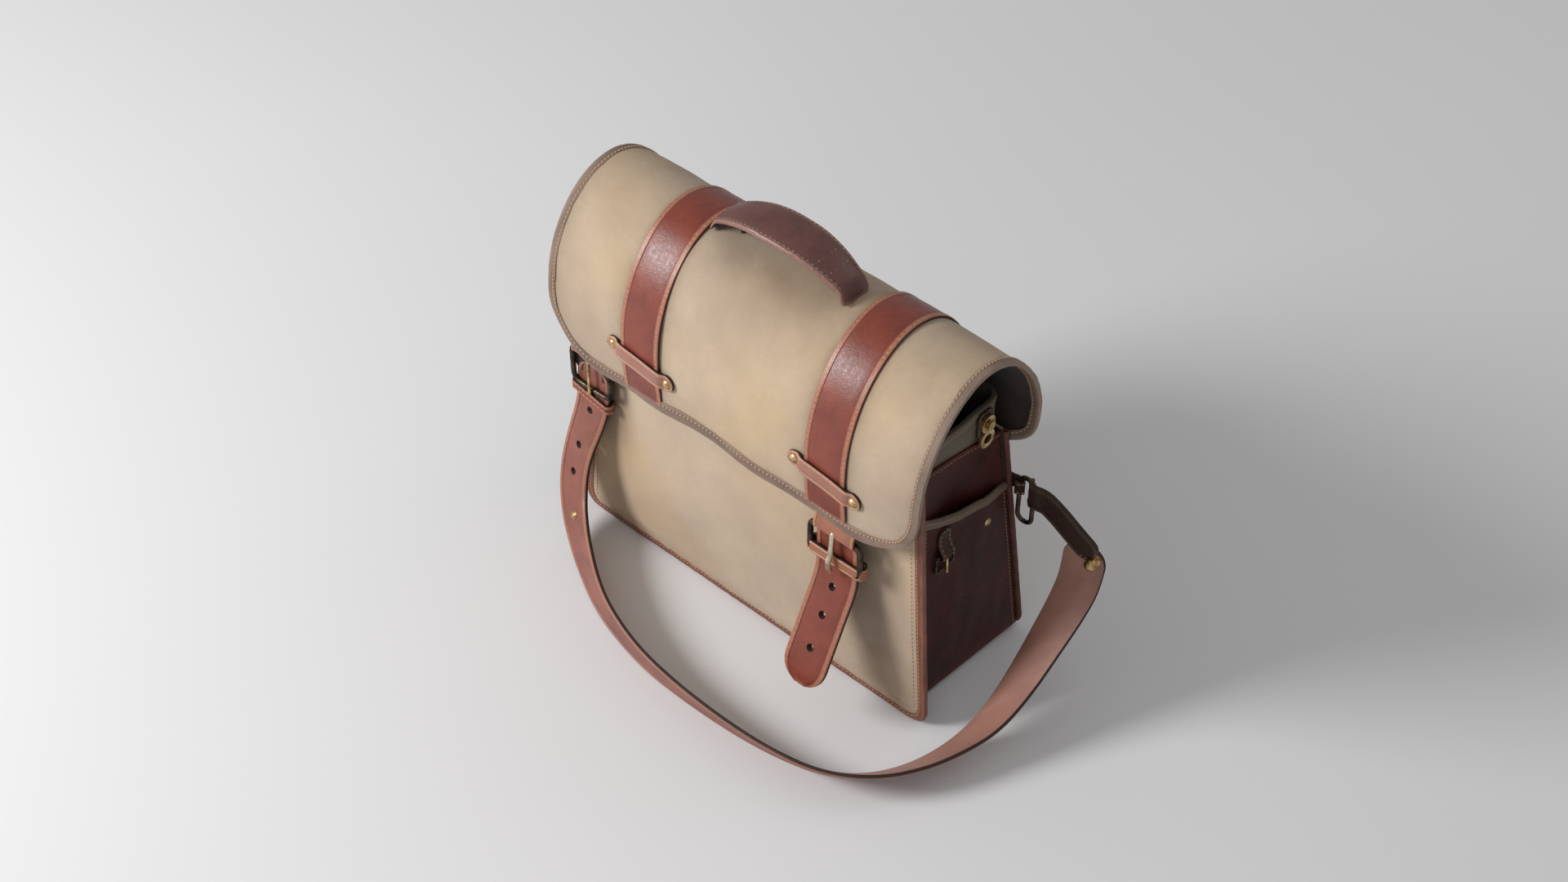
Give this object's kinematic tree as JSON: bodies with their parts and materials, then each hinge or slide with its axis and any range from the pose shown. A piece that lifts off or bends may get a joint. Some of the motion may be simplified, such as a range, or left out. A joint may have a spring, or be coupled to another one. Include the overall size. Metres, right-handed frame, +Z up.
{
  "type": "satchel bag",
  "caption": "Canvas satchel with leather gussets, a hinged flap with two straps and a buckled closure, a carrying handle and a shoulder strap laid on the floor.",
  "frame": {"origin": "on the floor, in the middle of the bag's base", "axes": "+Z up, +X along the bag's width to the wearer's left as the front is seen, -Y out of the front panel"},
  "size_m": [0.4781, 0.2714, 0.389],
  "materials": {
    "canvas": "washed plain-weave cotton canvas",
    "collar_canvas": "olive cotton canvas",
    "binding": "stitched taupe binding tape",
    "piping": "red-brown corded leather piping",
    "dark_leather": "dark maroon grained leather",
    "trim_leather": "dark brown waxed leather",
    "strap_leather": "red-brown saddle leather, stitched edges",
    "handle_leather": "burgundy leather, worn edges",
    "antique_metal": "dark antique finish",
    "brass": "pale aged brass",
    "snap_steel": "plain",
    "board": "stiffening board"
  },
  "bodies": {
    "bag": {"front_panel": "canvas", "back_panel": "canvas", "flap_tail": "canvas", "collar": "collar_canvas", "tail_binding": "binding", "pocket_binding_right": "binding", "pocket_binding_left": "binding", "front_piping": "piping", "back_piping": "piping", "gusset_right": "dark_leather", "gusset_left": "dark_leather", "side_pocket_right": "dark_leather", "side_pocket_left": "dark_leather", "base_panel": "dark_leather", "side_tab_right": "trim_leather", "side_tab_left": "trim_leather", "clip_tab_right": "trim_leather", "clip_tab_left": "trim_leather", "ring_tab_left": "trim_leather", "ring_tab_right": "trim_leather", "strap_end_tab": "trim_leather", "shoulder_strap": "strap_leather", "strap_chape": "strap_leather", "strap_keeper": "strap_leather", "strap_buckle": "antique_metal", "ring_left": "antique_metal", "ring_right": "antique_metal", "side_buckle_right": "antique_metal", "side_buckle_left": "antique_metal", "gusset_rivets": "brass", "strap_rivets": "brass", "clip_stud_right": "brass", "clip_stud_left": "brass", "snap_sockets": "snap_steel", "base_board": "board"},
    "flap": {"flap_cover": "canvas", "flap_binding": "binding", "keeper_rivets": "brass", "handle_staples": "antique_metal", "closure_chape": "strap_leather", "snap_studs": "snap_steel", "flap_strap_right": "strap_leather", "flap_strap_left": "strap_leather", "keeper_right": "strap_leather", "keeper_left": "strap_leather"},
    "carry_handle": {"handle": "handle_leather"},
    "front_closure": {"closure_buckle": "antique_metal", "closure_loop": "strap_leather", "closure_tongue": "strap_leather"},
    "front_prong": {"closure_prong": "brass"},
    "pocket_prong_right": {"side_prong_right": "brass"},
    "pocket_prong_left": {"side_prong_left": "brass"},
    "swing_clip_right": {"brass_clip_right": "brass"},
    "swing_clip_left": {"brass_clip_left": "brass"},
    "shoulder_prong": {"strap_prong": "brass"}
  },
  "joints": [
    {"name": "flap_fold", "type": "hinge", "parent": "bag", "child": "flap", "pos_m": [0, 0.045, 0.283], "axis": [-1, 0, 0], "range_deg": [0, 115]},
    {"name": "handle_swing", "type": "hinge", "parent": "flap", "child": "carry_handle", "pos_m": [0.002, -0.028, 0.371], "axis": [1, 0, 0], "range_deg": [-40, 40], "stiffness_Nm_per_rad": 0.02},
    {"name": "closure_swing", "type": "hinge", "parent": "flap", "child": "front_closure", "pos_m": [0.1135, -0.097, 0.19], "axis": [-1, 0, 0], "range_deg": [0, 60]},
    {"name": "front_prong_lift", "type": "hinge", "parent": "front_closure", "child": "front_prong", "pos_m": [0.1135, -0.097, 0.19], "axis": [-1, 0, 0], "range_deg": [0, 70]},
    {"name": "pocket_prong_right_lift", "type": "hinge", "parent": "bag", "child": "pocket_prong_right", "pos_m": [0.18312, -0.045, 0.177], "axis": [0, -1, 0], "range_deg": [0, 80]},
    {"name": "pocket_prong_left_lift", "type": "hinge", "parent": "bag", "child": "pocket_prong_left", "pos_m": [-0.18312, -0.045, 0.177], "axis": [0, 1, 0], "range_deg": [0, 80]},
    {"name": "clip_right_swing", "type": "hinge", "parent": "bag", "child": "swing_clip_right", "pos_m": [0.179, 0.003, 0.281], "axis": [1, 0, 0], "range_deg": [-60, 60]},
    {"name": "clip_left_swing", "type": "hinge", "parent": "bag", "child": "swing_clip_left", "pos_m": [-0.179, 0.003, 0.281], "axis": [1, 0, 0], "range_deg": [-60, 60]},
    {"name": "shoulder_prong_lift", "type": "hinge", "parent": "bag", "child": "shoulder_prong", "pos_m": [-0.17, -0.086, 0.2], "axis": [-1, 0, 0], "range_deg": [0, 80]}
  ]
}
